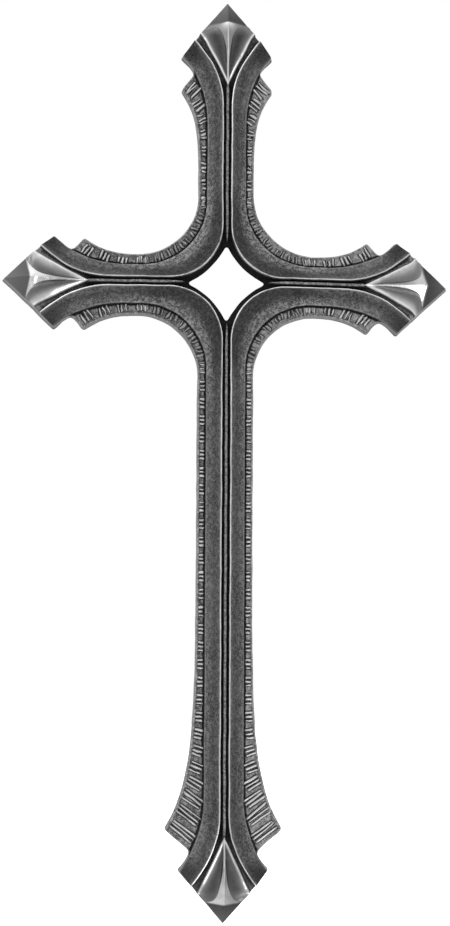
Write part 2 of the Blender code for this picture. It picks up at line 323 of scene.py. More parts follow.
outline = closed([quarter_outline(*quarter) for quarter in QUARTERS])
star = closed([quarter_star(*quarter) for quarter in QUARTERS])
side_count = len(star) // 4
star = star[side_count // 2:] + star[:side_count // 2]
for side in (3, 2, 1, 0):
    star = soften(star, side * side_count + side_count - side_count // 2, STAR_BLUNT)
print("outline", len(outline), "points, star", len(star), "points")

# %% [markdown]
# ## The relief as distances
# The height of any point follows from how far it is from the lines: a band falls
# in a hollow curve from its bright edge to its foot, a groove has a thin ridge
# in it, a leaf swells inside each spear tip. Sculpting could give this too, but
# with distances every crease runs exactly along its line.

# %% Distances from a place on the plan
def tree_of(loop, step):
    """Search tree of points along a closed loop, for distances from it."""
    dense = []
    for start, end in zip(loop, loop[1:] + loop[:1]):
        a, b = Vector(start), Vector(end)
        dense += [a.lerp(b, s) for s in steps(0, 1, step / max((b - a).length, step))[:-1]]
    search = KDTree(len(dense))
    for i, point in enumerate(dense):
        search.insert(point.to_3d(), i)
    search.balance()
    return search


outline_tree = tree_of(outline, 0.0001)
star_tree = tree_of(star, 0.0002)


def from_tree(search, plan):
    return np.array([search.find((x, y, 0.0))[2] for x, y in plan])


def kinds_at(plan):
    """Whether each point is on an upright arm, and the kind of its arm."""
    upright = np.abs(plan[:, 1]) >= np.abs(plan[:, 0])
    return upright, np.where(upright, np.where(plan[:, 1] > 0, "top", "bottom"), "side")


def by_kind(kind, values):
    return np.vectorize(values.get)(kind)


def arm_places(plan):
    """Distance back, along and across for each point, on whichever arm it is."""
    x, y = np.abs(plan[:, 0]), np.abs(plan[:, 1])
    upright, kind = kinds_at(plan)
    along = np.where(upright, y, x)
    across = np.where(upright, x, y)
    length, extra = by_kind(kind, ARM), by_kind(kind, SPEAR_EXTRA)
    back = length - along
    spear = (length + extra - along) / (1 + extra / NOTCH_BACK)
    return np.where(back < NOTCH_BACK, spear, back), along, across


def line_distance(line, radius, back, along, across):
    """Signed distance from a rail, positive on its outer side."""
    slope = (line(back + 1e-5) - line(back - 1e-5)) / 2e-5
    on_arm = (across - line(back)) / np.sqrt(1 + slope ** 2)
    centre = float(line(1.0)) + radius
    at_corner = radius - np.hypot(centre - along, centre - across)
    return np.where(along > centre, on_arm, at_corner)


def fade(tip, arm, front, end, back):
    """Height that sinks from its value along the arm to its value at the tip."""
    return mix(HEIGHT[arm], HEIGHT[tip], np.clip((end - back) / (end - front), 0, 1) ** 1.5)


# %% Leaf and spear tip
def leaf_height(back, across):
    """Sharp ridge, star-shaped pyramid, hollow flute and rounded lip of the leaf."""
    away = np.clip((back - APEX_BACK) / (LEAF_BACK - APEX_BACK), 0, 1)
    ridge = mix(HEIGHT["apex"], HEIGHT["ridge"], away)
    slope = (HEIGHT["apex"] - HEIGHT["wing"]) / spear_line(WING_BACK) * mix(1, 0.6, away)
    crease, scoop = crease_line(back), scoop_line(back)
    lip = fade("leaf_tip", "ridge", cut_back(leaf_line), LEAF_BACK, back)
    run = np.clip((LEAF_BACK - back) / (LEAF_BACK - WING_BACK), 0, 1)
    depth = FLUTE_DEPTH * np.sin(math.pi * 0.97 * run ** 0.8)
    depth = np.minimum(depth, 0.3 * (scoop - crease))
    share = np.clip((across - crease) / (scoop - crease), 0, 1)
    flute = mix(ridge - slope * crease, lip, share) - depth * np.sin(math.pi * share ** 0.6)
    rounded = lip - 0.0002 * np.clip((across - scoop) / LIP_WIDTH, 0, 1) ** 2
    behind = np.where(across < scoop, flute, rounded)
    return np.where(across < crease, ridge - slope * across, behind)


def spear_height(back, across, rim):
    """Leaf behind the two wing ridges, and the facets that fall to the point."""
    wing_half = spear_line(WING_BACK)
    wing_back = mix(APEX_BACK, WING_BACK, across / wing_half)
    fall = (HEIGHT["apex"] - HEIGHT["point"]) / (APEX_BACK - POINT_BACK)
    sideways = (HEIGHT["apex"] - fall * (APEX_BACK - WING_BACK) - HEIGHT["wing"]) / wing_half
    front = HEIGHT["apex"] - fall * (APEX_BACK - back) - sideways * across
    along_edge = np.clip((back - WING_BACK) / (cut_back(leaf_line) - WING_BACK), 0, 1)
    edge_height = mix(HEIGHT["wing"], HEIGHT["leaf_tip"], along_edge)
    near_edge = smooth(1 - rim / 0.004) * smooth((back - wing_back) / 0.002)
    leaf = mix(leaf_height(back, across), edge_height, near_edge)
    height = np.where(back < wing_back, front, leaf)
    from_apex = np.hypot(back - APEX_BACK, across)
    return height - STAR_WORN * bell(from_apex, 0.0, 0.0009)


# %% Marks for the finish
def by_arm(plan, values):
    """Value for the arm that each point is on."""
    upright = np.where(plan[:, 1] > 0, values["up"], values["down"])
    level = np.where(plan[:, 0] > 0, values["right"], values["left"])
    return np.where(np.abs(plan[:, 1]) > np.abs(plan[:, 0]), upright, level)


def marks_at(plan, places, distances, ridge, share):
    """How polished, dark, satin and grainy each plan point is; the bright and dark marks also hold painted
    highlight and painted shade.
    """
    back, along, across = places
    edge, foot, rim, leaf = distances
    on_side_arm = np.abs(plan[:, 0]) > np.abs(plan[:, 1])
    lee = smooth(np.where(on_side_arm, plan[:, 1], plan[:, 0]) / 0.0008 + 0.5)
    on_tip = (edge < 0) & (leaf > -0.0001) & (back < LEAF_BACK)
    wing_back = mix(APEX_BACK, WING_BACK, across / spear_line(WING_BACK))
    behind = smooth((back - wing_back) / by_arm(plan, WING_SOFT) + 0.5)
    crease, scoop = crease_line(back), scoop_line(back)
    in_flute = on_tip & (back > wing_back) & (across > crease)
    flute = np.clip((across - crease) / (scoop - crease), 0, 1)
    from_apex = np.hypot(back - APEX_BACK, across)

    # Rubbed bright: the band's edge, a tip's lip, spine and star, and a little the foot and rim.
    # The spine and the star also carry a painted highlight, set arm by arm, dimmed as painted shade on the
    # lee side.
    polish = np.maximum(bell(edge, 0.00015, 0.0003), 0.07 * ridge)
    inward = np.where(leaf > LIP_CREST, np.where(on_side_arm, 0.0010, 0.0005), 0.00026)
    lip = 0.85 * bell(leaf, LIP_CREST, inward) * on_tip * behind
    spine = by_arm(plan, SPINE_SHINE) * bell(across, 0.0, 0.00025) * on_tip * behind
    star_face = on_tip * behind * smooth((crease - across) / 0.0004 + 0.5)
    glow = (0.13 + 0.85 * bell(from_apex, 0.0, by_arm(plan, RUB_AND_SHEEN))) * star_face
    glow *= 1 - by_arm(plan, LEE_SIDE) * lee
    polish = np.where(on_tip, np.maximum(np.maximum(lip, spine), glow), polish)
    polish = np.maximum(polish, 0.16 * bell(foot, 0.0002, 0.0002))
    polish = np.maximum(polish, 0.14 * smooth(1.6 - rim / 0.0005) * (foot < 0))

    # The groove is dark at the crossing and lighter near the tips, worn and with painted light, more on the
    # side arms, and its side stays dark.
    channel = smooth((LEAF_BACK + 0.001 - back) / 0.006) * np.where(on_side_arm, 0.85, 0.62)
    in_channel = (edge < -0.0002) & ~on_tip
    dark = np.where(in_channel, (1 - ridge) * (1 - channel), 0.0)
    by_edge = 0.85 * bell(edge, -0.0005, 0.00025)
    dark = np.where(in_channel & (channel > 0), np.maximum(dark, by_edge), dark)
    worn_and_sheen = channel * np.where(on_side_arm, 0.22, 0.06) * (1 - by_edge)
    polish = np.where(in_channel, np.maximum(polish, worn_and_sheen), polish)
    # Painted shade: a dark line in the step at the band's foot.
    dark = np.maximum(dark, 0.9 * bell(foot, -0.00030, 0.00022))

    # The band gets painted shade in its hollow, at its ends and round the crossing, where its inner half is
    # darkest.
    on_band = (edge > 0.0003) & (foot > 0)
    at_end = smooth((cut_back(band_line) + 0.009 - back) / 0.010)
    hollow = np.maximum(0.34 * bell(share, 0.36, 0.24), 0.5 * at_end * smooth(share / 0.3))
    dark = np.maximum(dark, np.where(on_band, hollow, 0))
    at_crossing = smooth((0.052 - np.maximum(along, across)) / 0.016)
    shaded = 0.60 * smooth((0.050 - np.maximum(along, across)) / 0.020)
    shaded *= 1 - 0.8 * smooth((share - 0.35) / 0.4)
    dark = np.maximum(dark, np.where(on_band, shaded, 0))

    # Grain shows on the bands, in the worn grooves, on the ridges and on the flange.
    # Round the crossing the band's grain grows towards its foot, a painted highlight of bright specks.
    band_grain_and_sheen = (0.42 + 0.58 * at_crossing * smooth((share - 0.4) / 0.4)) * (1 - at_end)
    grainy = np.where(on_band, band_grain_and_sheen, 0.0)
    grainy = np.where(in_channel, np.where(channel > 0, channel * 0.8, 0.0), grainy)
    on_flange = smooth((-foot - 0.0006) / 0.0004)
    grainy = np.maximum(np.maximum(grainy, 0.7 * ridge), 0.85 * on_flange)
    # Painted light: the right half of the flange is lifted out of the bands' shadow.
    polish = np.maximum(polish, RIGHT_FLANGE_PAINTED_LIGHT * on_flange * (plan[:, 0] > 0) * (foot < 0))

    # The flutes of a tip are dark, with patina and painted shade, and the two facets in front of its wings
    # get painted shade, darker on the lee side. A side arm's flute gets a painted highlight towards its lip.
    scooped = np.where(on_side_arm, bell(flute, 0.22, 0.26), np.sin(math.pi * flute ** 0.7))
    scooped *= np.clip((back - WING_BACK) / 0.006, 0, 1)
    scooped *= by_arm(plan, SCOOPED)
    scooped *= smooth(rim / 0.0035)
    dark = np.where(in_flute, np.maximum(scooped - 0.3 * lip - spine, 0), dark)
    fallen = mix(by_arm(plan, FALLEN), by_arm(plan, FALLEN_LEE), lee)
    fallen = fallen - 0.34 * smooth((wing_back - back) / 0.010)
    dark = mix(dark, fallen, on_tip * (1 - behind))
    bright_flute = 0.06 + 0.42 * smooth((flute - 0.45) / 0.5)
    polish = np.maximum(polish, np.where(in_flute & on_side_arm, bright_flute, 0.0))
    return np.stack([polish, dark, np.where(on_tip, 1.0, 0.0), grainy], axis=1)


# %% Whole relief
def relief(plan):
    """Height of each plan point, and its marks."""
    back, along, across = arm_places(plan)
    edge = line_distance(edge_line, EDGE_RADIUS, back, along, across)
    foot = -line_distance(band_line, BAND_RADIUS, back, along, across)
    rim = from_tree(outline_tree, plan)
    ledge = from_tree(star_tree, plan)
    edge_end = cut_back(edge_line)
    edge_top = fade("edge_tip", "edge", edge_end, EDGE_START, back)
    foot_top = fade("corner", "foot", cut_back(band_line), NOTCH_BACK, back)
    floor = fade("groove_tip", "groove", edge_end, LEAF_BACK, back)
    floor = floor - (HEIGHT["groove"] - HEIGHT["star"]) * (1 - smooth(ledge / 0.0018))

    half = mix(RIDGE_END, RIDGE_HALF, smooth((along - STAR_POINT) / 0.010))
    ridge = smooth((half + 0.00015 - across) / 0.0003)
    ridge *= smooth((along - STAR_POINT - 0.0002) / 0.0012)
    crown = HEIGHT["ridge"] - 0.0004 * (across / half) ** 2
    inner = mix(floor, crown, ridge)
    leaf = (leaf_line(back) - across) / math.hypot(1, LEAF_SPREAD)
    in_spear = (back < LEAF_BACK) & (leaf > -LIP_WIDTH)
    leaf_top = spear_height(back, across, rim)
    sunk = mix(leaf_top, floor, smooth(-leaf / LIP_WIDTH))
    inner = np.where(in_spear, np.where(leaf > 0, leaf_top, sunk), inner)

    side = mix(floor, edge_top - 0.0002, smooth((edge + GROOVE_SIDE) / GROOVE_SIDE))
    bead = edge_top - 0.0002 + 0.0002 * smooth((edge + 0.0001) / 0.0003)
    share = np.clip((edge - 0.0005) / np.maximum(edge - 0.0005 + foot, 1e-6), 0, 1)
    band = mix(foot_top, edge_top, (1 - share) ** 1.35)
    step = mix(foot_top, HEIGHT["line"], smooth(-foot / 0.0003))
    flange = mix(HEIGHT["line"], HEIGHT["flange"], smooth((-foot - 0.0006) / 0.0004))
    flange = mix(HEIGHT["rim"], flange, smooth((rim - 0.0006) / 0.0004))

    height = np.where(edge < -GROOVE_SIDE, inner, np.maximum(inner, side))
    height = np.where(edge > 0, np.where(edge < 0.0005, np.maximum(bead, side), band), height)
    height = np.where(foot < 0, np.where(foot > -0.0003, step, flange), height)
    lost = np.clip(1 - rim / 0.00035, 0, 1)
    height = height - 0.00035 * (1 - np.sqrt(1 - lost ** 2 * 0.98))
    return height, marks_at(plan, (back, along, across), (edge, foot, rim, leaf), ridge, share)


# %% [markdown]
# ## The fine skin
# The lines are laid close together where the relief turns sharply and wide apart
# where it is plain. A constrained triangulation joins them, so each crease is a
# row of edges. A grid with displacement would need far more faces for the same
# crisp edges, and displacement in the material is lost when the model is exported.

# %% Lines for the skin
EDGE_STEPS = (-0.0005, -0.0003, -0.00012, 0.00005, 0.0003, 0.0005, 0.0009)
BAND_SHARES = (0.2, 0.32, 0.45, 0.58, 0.7, 0.81, 0.91)
FOOT_STEPS = (-0.0003, 0.0, 0.00015, 0.0003, 0.0006, 0.0010)


def beside(line, start, spread, offset):
    """A line that keeps an even distance from a spreading line."""
    def moved_line(back):
        slope = 2 * spread * np.maximum(start - back, 0.0)
        return line(back) + offset * np.sqrt(1 + slope ** 2)
    return moved_line


def skin_lines():
    found = []
    for first, second in QUARTERS:
        for offset in EDGE_STEPS:
            line = beside(edge_line, EDGE_START, EDGE_SPREAD, offset)
            found.append(rail(first, second, line, EDGE_RADIUS - offset, cut_back(line) + 0.0002))
        for share in BAND_SHARES:
            def line(back, share=share):
                return mix(edge_line(back), band_line(back), share)
            radius = mix(EDGE_RADIUS, BAND_RADIUS, share)
            found.append(rail(first, second, line, radius, cut_back(line) + 0.0002))
        for offset in FOOT_STEPS:
            line = beside(band_line, BAND_START, BAND_SPREAD, offset)
            tip_end = cut_back(line) + 0.0009 if offset < 0 else NOTCH_BACK + 0.0006 + offset * 1.5
            found.append(rail(first, second, line, BAND_RADIUS - offset, tip_end))
    return found


def spear_lines(arm, side):
    """Lines inside one half of a spear tip and its leaf."""
    found = []

    def draw(line, start, end, step=FINE_STEP, cut=False):
        """Adds a line, cut where it would leave the spear tip or reach its middle."""
        backs = steps(start, end, step)
        if cut:
            backs = [b for b in backs if 0.0002 < line(b) < spear_line(b) - 0.0003]
        found.append(trace(arm, side, backs, line))

    star_end = ARM[KIND[arm]] - STAR_POINT - 0.0003
    for offset in (0.0002, 0.00038, 0.0005, 0.00065, 0.0008):
        draw(lambda b: offset, LEAF_BACK, star_end - 0.0008, WIDE_STEP)
    leaf_end, slant = cut_back(leaf_line) + 0.0002, math.hypot(1, LEAF_SPREAD)
    for offset in (-0.0006, -0.0004, -0.0002, 0.0, 0.0003, 0.0006):
        base = LEAF_BACK - (0.0009 if offset > 0 else 0.0002)
        draw(lambda b: leaf_line(b) - offset * slant, leaf_end + abs(offset) * 0.5, base)
    for offset in (-0.0002, 0.0, 0.0002):
        draw(lambda b: crease_line(b) + offset, WING_BACK + 0.0004, LEAF_BACK - 0.010, 0.0005, True)
    for share in (0.09, *BAND_SHARES, 1.0):
        draw(lambda b: mix(crease_line(b), scoop_line(b), share),
             WING_BACK + 0.0006, LEAF_BACK - 0.003, 0.0006, True)
    wing_half = spear_line(WING_BACK)
    for shift in (-0.0008, -0.0004, 0.0, 0.0004, 0.0008):
        points = []
        for share in steps(0, 1, 0.06):
            b = mix(APEX_BACK, WING_BACK, share) + shift
            if wing_half * share < spear_line(b) - 0.0002:
                points.append(place(arm, side, b, wing_half * share))
        found.append(points)
    for share in (0.06, 0.2, 0.4, 0.6, 0.8):
        draw(lambda b: spear_line(b) * share, POINT_BACK + 0.001, WING_BACK - 0.001)
    for offset in (0.00022, 0.00045):
        draw(lambda b: offset, APEX_BACK + 0.0003, LEAF_BACK - 0.0015)
    for share in (0.3, 0.7):
        draw(lambda b: crease_line(b) * share, APEX_BACK + 0.0005, LEAF_BACK - 0.014)
    return found


def middle_line(arm):
    """Middle of an arm, from the star over the apex to the point."""
    star_end = ARM[KIND[arm]] - STAR_POINT - 0.0003
    backs = steps(POINT_BACK, APEX_BACK, 0.0008)[:-1] + steps(APEX_BACK, LEAF_BACK, FINE_STEP)[:-1]
    backs += steps(LEAF_BACK, star_end, WIDE_STEP)
    side = "left" if KIND[arm] != "side" else "up"
    return trace(arm, side, backs[1:], lambda b: 0.0)


lines = skin_lines()
for first, second in QUARTERS:
    lines += spear_lines(first, second) + spear_lines(second, first)
    lines.append(middle_line(first))
print(len(lines), "lines,", sum(len(line) for line in lines), "points")



# %% Loose points that fill the flange
def inset(loop, distance):
    """The loop moved sideways in the plan, inwards for a positive distance."""
    points = np.array(loop)
    arriving = points - np.roll(points, 1, axis=0)
    leaving = np.roll(points, -1, axis=0) - points
    arriving /= np.linalg.norm(arriving, axis=1)[:, None]
    leaving /= np.linalg.norm(leaving, axis=1)[:, None]
    middle = arriving + leaving
    middle /= np.linalg.norm(middle, axis=1)[:, None]
    reach = distance / np.maximum((middle * arriving).sum(axis=1), 0.25)
    return points + np.stack([-middle[:, 1], middle[:, 0]], axis=1) * reach[:, None]


RIM_INSETS = (0.00008, 0.0002, 0.00035, 0.0006, 0.0008, 0.0010)
GRID_STEP, GRID_CLEAR = 0.0011, 0.0013


def flange_points():
    """Rows that follow the outline, and a plain grid on the flange between them."""
    rows = [inset(outline, distance) for distance in RIM_INSETS]
    xs = np.arange(-0.0975, 0.0976, GRID_STEP)
    ys = np.arange(-0.276, 0.128, GRID_STEP)
    places = np.stack(np.meshgrid(xs, ys), axis=-1).reshape(-1, 2)
    back, along, across = arm_places(places)
    foot = line_distance(band_line, BAND_RADIUS, back, along, across)
    places = places[(foot > GRID_CLEAR) & (back > NOTCH_BACK)]
    return rows, places[from_tree(outline_tree, places) > GRID_CLEAR]


def inside(plan, loop):
    """True for each plan point inside the loop."""
    hit = np.zeros(len(plan), bool)
    for (x0, y0), (x1, y1) in zip(loop, loop[1:] + loop[:1]):
        if y0 == y1:
            continue
        crosses = (y0 > plan[:, 1]) != (y1 > plan[:, 1])
        hit ^= crosses & (plan[:, 0] < x0 + (x1 - x0) * (plan[:, 1] - y0) / (y1 - y0))
    return hit


insets, grid = flange_points()
grid = grid[inside(grid, outline)]
print(len(grid), "loose points on the flange")


# %% Join the lines into the front of the skin
def fill(loops, lines, loose):
    """Triangles inside the first loop and outside the second, with every line as edges."""
    points, pairs = [], []
    for loop in loops:
        pairs += [(len(points) + i, len(points) + (i + 1) % len(loop)) for i in range(len(loop))]
        points += [Vector(point) for point in loop]
    for line in lines:
        pairs += [(len(points) + i, len(points) + i + 1) for i in range(len(line) - 1)]
        points += [Vector(point) for point in line]
    points += [Vector(point) for point in loose]
    places, _, triangles, origins, _, _ = delaunay_2d_cdt(points, pairs, [], 1, 1e-6)
    places = np.array([tuple(p) for p in places])
    triangles = np.array(triangles)
    middles = places[triangles].mean(axis=1)
    return places, triangles[~inside(middles, loops[1])], origins


loose = [tuple(point) for row in [grid, *insets] for point in row]
plan, front, _ = fill((outline, star), lines, loose)
heights, marks = relief(plan)
print("front", len(plan), "points,", len(front), "triangles")


# %% [markdown]
# ## The hand of the maker
# A carved pattern is never quite true. Slow noise bends the lines by a tenth of
# a millimetre and makes the surface swell a little. It fades out at the tips, so
# that the skin stays inside the solid's box.

# %% Bend the skin a little and stand it up
# Each wave has a scale, a seed and a size.
BEND, FINE_BEND = (130, 0.3, 0.00016), (420, 4.0, 0.00007)
SWELL, FINE_SWELL = (170, 9.0, 0.00009), (900, 2.0, 0.00003)


def widened(plan):
    """How far each point stands out, because the corners of the casting are full."""
    back, along, across = arm_places(plan)
    upright, kind = kinds_at(plan)
    corner_back = cut_back(band_line)
    corner = across / float(band_line(corner_back))
    corner *= 1 - smooth((back - corner_back) / (NOTCH_BACK - corner_back))
    shoulder_back, shoulder_half = by_kind(kind, SHOULDER)
    out = np.clip((across - band_line(back)) / (shoulder_half - band_line(shoulder_back)), 0, 1)
    out = out * bell(back, shoulder_back, SHOULDER_REACH) * (back > NOTCH_BACK)
    sideways = corner * by_kind(kind, CORNER_SPREAD)
    sideways += out * by_kind(kind, SHOULDER_SPREAD)
    inward = corner * by_kind(kind, CORNER_SETBACK)
    to_wing = np.clip(across / spear_line(WING_BACK), 0, 1)
    shift = mix(by_arm(plan, APEX_SHIFT), by_arm(plan, WING_SHIFT), to_wing)
    shift *= bell(back, 0.0110, 0.0042) * smooth(back / 0.004)
    inward += shift
    to_edge = np.clip(across / np.maximum(spear_line(back), 1e-4), 0, 1)
    sideways += shift * to_edge * math.tan(TIP_ANGLE)
    outwards = np.sign(plan)
    moved = np.zeros(plan.shape)
    moved[:, 0] = np.where(upright, outwards[:, 0] * sideways, -outwards[:, 0] * inward)
    moved[:, 1] = np.where(upright, -outwards[:, 1] * inward, outwards[:, 1] * sideways)
    return moved


def lean(x):
    """The side arms aren't quite true: the left tip stands up, and the right arm hangs."""
    rise = LEFT_TIP_RISE * smooth((-x - 0.058) / 0.036)
    return rise - RIGHT_ARM_DROP * smooth((x - 0.020) / 0.040)


def waved(kind, x, y, wave):
    scale, seed, size = wave
    return kind((x * scale, y * scale, seed)) * size


def wobble(plan, heights):
    """The plan and the heights, bent and swollen by slow noise."""
    moved = plan.copy()
    lift = np.zeros(len(plan))
    for i, (x, y) in enumerate(plan):
        bent = waved(noise.noise_vector, x, y, BEND) + waved(noise.noise_vector, x, y, FINE_BEND)
        moved[i] += (bent.x, bent.y)
        lift[i] = waved(noise.noise, x, y, SWELL) + waved(noise.noise, x, y, FINE_SWELL)
    calm = smooth((arm_places(plan)[0] - 0.002) / 0.012)
    moved = plan + (moved - plan) * calm[:, None] + widened(plan)
    moved[:, 1] += lean(plan[:, 0])
    return moved, heights + lift * calm


moved, heights = wobble(plan, heights)


def rings(triangles):
    """Border loops of the triangles, each in order."""
    edges = dict.fromkeys(pair for a, b, c in triangles for pair in ((a, b), (b, c), (c, a)))
    follow = {a: b for a, b in edges if (b, a) not in edges}
    loops = []
    while follow:
        start, here = follow.popitem()
        loop = [start]
        while here != start:
            loop.append(here)
            here = follow.pop(here)
        loops.append(loop)
    return sorted(loops, key=len, reverse=True)


loops = rings(front.tolist())
print("borders", [len(loop) for loop in loops])


# %% [markdown]
# ## Walls and back
# The side walls lean out a little, as they must to leave a sand mould, and the
# back is flat and plain, because it lies against the stone. The walls are made
# from the skin's own border, so there is no gap between them.

# %% Close the skin
WALL_ROWS, SHARP_ANGLE = (0.25, 0.6, 1.0), 38


def wall_draft(ring):
    """Draft at each point of the outline: small on the flange and in hollow corners."""
    points = np.array(ring)
    on_flange = smooth((arm_places(points)[0] - NOTCH_BACK - 0.001) / 0.004)
    arriving = points - np.roll(points, 1, axis=0)
    leaving = np.roll(arriving, -1, axis=0)
    turn = np.arctan2(arriving[:, 0] * leaving[:, 1] - arriving[:, 1] * leaving[:, 0],
                      (arriving * leaving).sum(axis=1))
    near = sum(np.roll(turn, k) for k in range(-6, 7))
    hollow = np.clip(-near / 0.7, 0, 1)
    hollow = np.max([np.roll(hollow, k) for k in range(-4, 5)], axis=0)
    hollow = sum(np.roll(hollow, k) for k in range(-4, 5)) / 9
    return mix(DRAFT, FLANGE_DRAFT, on_flange) * (1 - 0.85 * hollow)


def build_skin():
    """Front, walls and back as one closed mesh, with the marks on its points."""
    points = [(x, -h, y + MOUNT_BELOW_STAR) for (x, y), h in zip(moved, heights)]
    values = marks.tolist()
    faces = [tuple(t) for t in front.tolist()]
    bases = []
    for loop, outer in zip(loops, (True, False)):
        ring = [tuple(moved[i]) for i in loop]
        lean_out = wall_draft(ring) if outer else -STAR_UNDERCUT
        previous = loop
        for share in WALL_ROWS:
            row = list(range(len(points), len(points) + len(loop)))
            for (x, y), i in zip(inset(ring, -lean_out * share), loop):
                points.append((x, -heights[i] * (1 - share), y + MOUNT_BELOW_STAR))
                side = WALL_MARKS if outer else OPENING_MARKS
                values.append(side if share < 1 else BACK_MARKS)
            faces += [(previous[j - 1], row[j - 1], row[j], previous[j]) for j in range(len(loop))]
            previous = row
        bases.append(row)
    flat = [[(points[i][0], points[i][2]) for i in row] for row in bases]
    order = bases[0] + bases[1]
    _, back, origins = fill(flat, [], [])
    faces += [tuple(order[origins[i][0]] for i in triangle[::-1]) for triangle in back.tolist()]
    return points, faces, np.array(values)


points, faces, values = build_skin()
print("skin", len(points), "points,", len(faces), "faces")

# %% Make the mesh
def paint(mesh, names, values):
    """Stores marks on a mesh's points, one attribute for each column of values."""
    for k, name in enumerate(names):
        layer = mesh.attributes.new(name, "FLOAT", "POINT")
        layer.data.foreach_set("value", np.array(values)[:, k].astype(np.float32))


def show(name, data):
    """New object for a mesh, lamp or camera, linked to the scene."""
    thing = bpy.data.objects.new(name, data)
    bpy.context.scene.collection.objects.link(thing)
    return thing


mesh = bpy.data.meshes.new("cross_skin")
mesh.from_pydata(points, [], faces)
mesh.validate()
paint(mesh, ("polish", "dark", "satin", "grainy"), values)
mesh.shade_smooth()
mesh.set_sharp_from_angle(angle=math.radians(SHARP_ANGLE))
skin = show("cross_skin", mesh)

# %% Ride on the frame
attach(skin, "root")
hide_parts("cross")

# %% [markdown]
# ## The finish
# The iron was blackened, and the raised parts were then rubbed bright. A single
# metal shader can't show that, so four marks painted on the points steer it:
# polished edges, dark recesses, satin spear tips and grainy bands and flanges.
# The bright mark also holds painted highlights and the dark mark painted shade,
# set from arm to arm and from side to side, so part of the light and shade is
# painted into the finish itself. Noise in real millimetres adds the grain of the
# sand mould. A painted picture could do the same, but it would be tied to one
# unwrapping of the mesh.

# %% Antique iron
PATINA, GREY_IRON, CLOUDS = (0.022, 0.022, 0.023), (0.150, 0.150, 0.152), (0.160, 0.160, 0.163)
SPARKS, MOTTLES, SATIN_IRON = (0.48, 0.48, 0.48), (0.34, 0.34, 0.345), (0.17, 0.17, 0.173)
# Bare iron is also the colour of painted highlights; the near black is patina and painted shade.
BARE_IRON_AND_SHEEN, BLACK_PATINA_AND_SHADE = (0.84, 0.84, 0.84), (0.018, 0.018, 0.018)


def feed(tree, socket, value):
    """Links an output to a socket, or gives the socket a plain value."""
    if isinstance(value, bpy.types.NodeSocket):
        tree.links.new(value, socket)
    else:
        socket.default_value = value


def add_node(tree, kind, settings=(), values=(), **named):
    """Adds a node: its settings, its first inputs in order, and other inputs by name."""
    node = tree.nodes.new(kind)
    for name, value in dict(settings).items():
        setattr(node, name, value)
    for socket, value in zip(node.inputs, values):
        feed(tree, socket, value)
    for name, value in named.items():
        feed(tree, node.inputs[name.replace("_", " ")], value)
    return node


def antique_iron():
    material = bpy.data.materials.new("antique_iron")
    material.use_nodes = True
    tree = material.node_tree
    put = partial(add_node, tree)
    shader = tree.nodes["Principled BSDF"]
    where = put("ShaderNodeTexCoord").outputs["Object"]

    def noise_of(scale, detail, roughness):
        return put("ShaderNodeTexNoise", Vector=where, Scale=scale, Detail=detail,
                   Roughness=roughness).outputs["Fac"]

    def mark(name):
        return put("ShaderNodeAttribute", {"attribute_name": name}).outputs["Fac"]

    def ranged(source, low, high, out_low, out_high):
        return put("ShaderNodeMapRange", values=(source, low, high, out_low, out_high)).outputs["Result"]

    def maths(operation, *values):
        return put("ShaderNodeMath", {"operation": operation, "use_clamp": True}, values).outputs[0]

    def blend(factor, a, b):
        node = put("ShaderNodeMix", {"data_type": "RGBA"}, (factor,))
        for socket, value in ((node.inputs[6], a), (node.inputs[7], b)):
            feed(tree, socket, (*value, 1.0) if isinstance(value, tuple) else value)
        return node.outputs[2]

    polish, dark, satin, grainy = mark("polish"), mark("dark"), mark("satin"), mark("grainy")
    grain = noise_of(1500, 3, 0.75)
    scratch = noise_of(700, 6, 0.7)
    base = blend(ranged(grain, 0.38, 0.62, 0.0, 1.0), PATINA, GREY_IRON)
    base = blend(ranged(noise_of(90, 4, 0.6), 0.42, 0.66, 0.0, 0.45), base, CLOUDS)
    sparks = maths("MULTIPLY", ranged(noise_of(2100, 1, 0.5), 0.54, 0.68, 0.0, 1.0), grainy)
    base = blend(maths("MULTIPLY", sparks, 0.8), base, SPARKS)
    mottled = maths("MULTIPLY", ranged(noise_of(620, 3, 0.6), 0.48, 0.62, 0.0, 0.9), grainy)
    base = blend(mottled, base, MOTTLES)
    base = blend(satin, base, SATIN_IRON)
    worn_and_sheen = maths("MULTIPLY", polish, ranged(scratch, 0.25, 0.5, 0.8, 1.0))
    worn_and_sheen = maths("MULTIPLY", worn_and_sheen, ranged(noise_of(230, 2, 0.5), 0.35, 0.6, 0.72, 1.0))
    # Bright marks: bare rubbed iron, and painted highlights where the marks hold them.
    base = blend(worn_and_sheen, base, BARE_IRON_AND_SHEEN)
    patina_and_shade_mask = maths("MULTIPLY", dark, ranged(scratch, 0.3, 0.7, 1.0, 0.8))
    # Dark marks: black patina in the hollows, and painted shade.
    base = blend(patina_and_shade_mask, base, BLACK_PATINA_AND_SHADE)
    rough = ranged(grain, 0.3, 0.7, 0.56, 0.72)
    rough = maths("SUBTRACT", rough, maths("MULTIPLY", satin, 0.30))
    rough = maths("SUBTRACT", rough, maths("MULTIPLY", polish, 0.34))
    rough = maths("ADD", rough, maths("MULTIPLY", dark, 0.25))
    plain = maths("SUBTRACT", 1.0, maths("MULTIPLY", maths("ADD", satin, polish), 0.85))
    bump = put("ShaderNodeBump", Distance=0.00012, Strength=0.55,
               Height=maths("MULTIPLY", grain, plain))
    for name, value in (("Base Color", base), ("Metallic", 1.0), ("Roughness", rough),
                        ("Normal", bump.outputs["Normal"])):
        feed(tree, shader.inputs[name], value)
    return material


iron = antique_iron()
skin.data.materials.append(iron)
print("finish", iron.name, len(iron.node_tree.nodes), "nodes")

